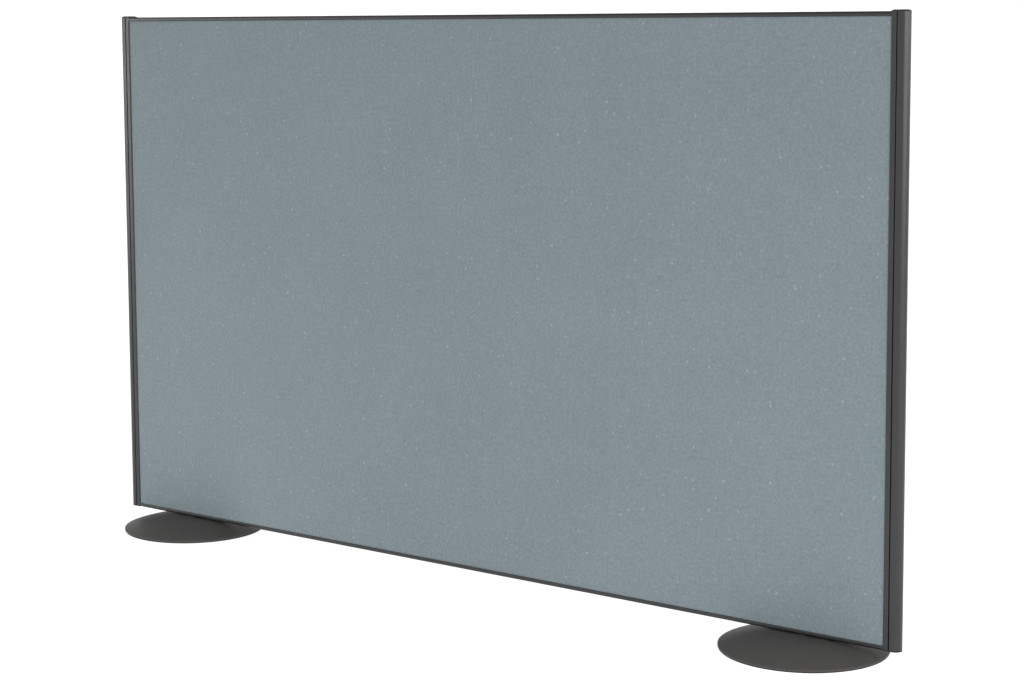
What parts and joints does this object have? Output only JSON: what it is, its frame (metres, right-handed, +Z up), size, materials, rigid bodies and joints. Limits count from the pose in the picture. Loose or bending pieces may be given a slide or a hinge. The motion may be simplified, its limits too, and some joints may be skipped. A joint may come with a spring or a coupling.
{
  "type": "office floor screen",
  "caption": "Low free-standing office divider: a cloth-covered panel in a slim channel frame with half-round ends, on low domed disc feet that turn to level it.",
  "frame": {"origin": "on the floor under the middle of the panel", "axes": "+X along the panel's width, +Y from front to back through its thickness, +Z up"},
  "size_m": [1.8, 0.285, 1.0526],
  "materials": {
    "cloth": "woven, matt, flecked blue-grey",
    "pin_board": "raw soft fibreboard",
    "timber": "planed softwood",
    "infill": "felted acoustic fibre",
    "frame_coat": "charcoal fine-texture powder coat, satin",
    "foot_coat": "black powder coat, semi-gloss",
    "cap_plastic": "moulded, satin",
    "plain_steel": "zinc plated",
    "mat_rubber": "matt",
    "washer_plastic": "smooth, low friction"
  },
  "bodies": {
    "panel": {"back_cloth": "cloth", "back_pin_board": "pin_board", "bottom_rail": "frame_coat", "bracket_screws": "plain_steel", "core_bottom_rail": "timber", "core_middle_stile": "timber", "core_top_rail": "timber", "front_cloth": "cloth", "front_pin_board": "pin_board", "left_bottom_corner_bracket": "plain_steel", "left_core_stile": "timber", "left_fixing_plate": "plain_steel", "left_infill_slab": "infill", "left_rail_bottom_cap": "cap_plastic", "left_rail_top_cap": "cap_plastic", "left_side_rail": "frame_coat", "left_threaded_block": "plain_steel", "left_top_corner_bracket": "plain_steel", "plate_screws": "plain_steel", "right_bottom_corner_bracket": "plain_steel", "right_core_stile": "timber", "right_fixing_plate": "plain_steel", "right_infill_slab": "infill", "right_rail_bottom_cap": "cap_plastic", "right_rail_top_cap": "cap_plastic", "right_side_rail": "frame_coat", "right_threaded_block": "plain_steel", "right_top_corner_bracket": "plain_steel", "side_rail_screws": "plain_steel", "top_rail": "frame_coat"},
    "left_end_strip_set": {"left_end_strip": "frame_coat", "left_end_strip_cap": "cap_plastic"},
    "left_foot": {"left_foot_ballast_plate": "plain_steel", "left_foot_collar": "foot_coat", "left_foot_dome": "foot_coat", "left_foot_hub": "plain_steel", "left_foot_mat": "mat_rubber", "left_foot_stud": "plain_steel"},
    "left_foot_lift": {"left_thrust_washer": "washer_plastic"},
    "right_end_strip_set": {"right_end_strip": "frame_coat", "right_end_strip_cap": "cap_plastic"},
    "right_foot": {"right_foot_ballast_plate": "plain_steel", "right_foot_collar": "foot_coat", "right_foot_dome": "foot_coat", "right_foot_hub": "plain_steel", "right_foot_mat": "mat_rubber", "right_foot_stud": "plain_steel"},
    "right_foot_lift": {"right_thrust_washer": "washer_plastic"}
  },
  "joints": [
    {"name": "left_foot_lower", "type": "slide", "parent": "panel", "child": "left_foot_lift", "axis": [0, 0, -1], "range_m": [0, 0.005]},
    {"name": "left_foot_turn", "type": "hinge", "parent": "left_foot_lift", "child": "left_foot", "pos_m": [-0.72, 0, 0], "axis": [0, 0, -1], "range_deg": [0, 1440]},
    {"name": "left_end_strip_slide", "type": "slide", "parent": "panel", "child": "left_end_strip_set", "axis": [0, 0, 1], "range_m": [0, 1.03]},
    {"name": "right_foot_lower", "type": "slide", "parent": "panel", "child": "right_foot_lift", "axis": [0, 0, -1], "range_m": [0, 0.005]},
    {"name": "right_foot_turn", "type": "hinge", "parent": "right_foot_lift", "child": "right_foot", "pos_m": [0.72, 0, 0], "axis": [0, 0, -1], "range_deg": [0, 1440]},
    {"name": "right_end_strip_slide", "type": "slide", "parent": "panel", "child": "right_end_strip_set", "axis": [0, 0, 1], "range_m": [0, 1.03]}
  ],
  "couplings": [
    {"joint": "left_foot_lower", "follows": "left_foot_turn", "m_per_rad": 0.00019894},
    {"joint": "right_foot_lower", "follows": "right_foot_turn", "m_per_rad": 0.00019894}
  ]
}
